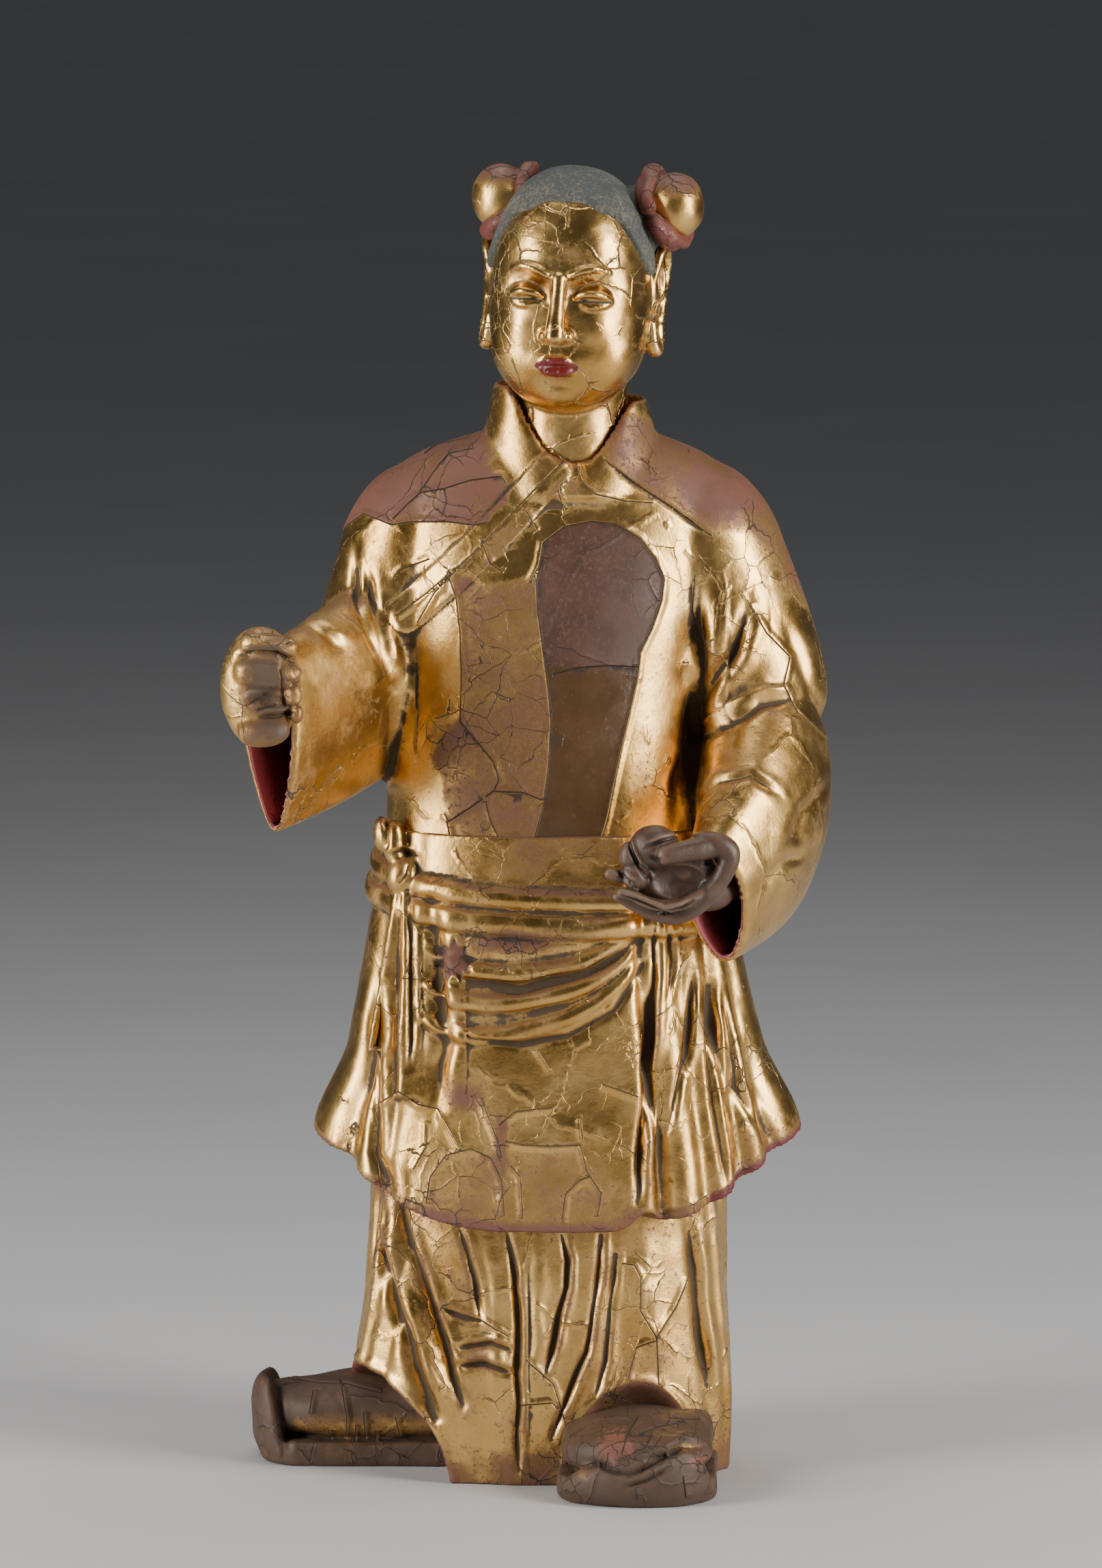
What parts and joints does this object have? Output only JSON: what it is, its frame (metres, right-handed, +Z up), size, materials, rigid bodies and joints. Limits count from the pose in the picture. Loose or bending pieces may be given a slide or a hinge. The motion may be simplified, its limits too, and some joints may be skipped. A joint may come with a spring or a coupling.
{
  "type": "papier-mache figure",
  "caption": "Standing gilt papier-mache attendant with hair buns, wide hollow sleeves, sash, flared coat skirt and boots.",
  "frame": {"origin": "on the floor, under the middle of the figure's bounding box", "axes": "+Z up; the figure faces -Y; +X is towards its left hand, the right side as seen by someone facing it"},
  "size_m": [0.3098, 0.2168, 0.6795],
  "materials": {
    "gilt_papier_mache": "worn gold leaf over dark red-brown lacquer on papier-mache, cracked into plates, bare in places",
    "worn_gilt_hand": "rubbed and grimy gold leaf over lacquer",
    "dark_lacquer_hand": "bare dark brown lacquer, dull sheen"
  },
  "bodies": {
    "root": {"body": "gilt_papier_mache", "fist": "worn_gilt_hand", "cupped_hand": "dark_lacquer_hand"}
  },
  "joints": []
}
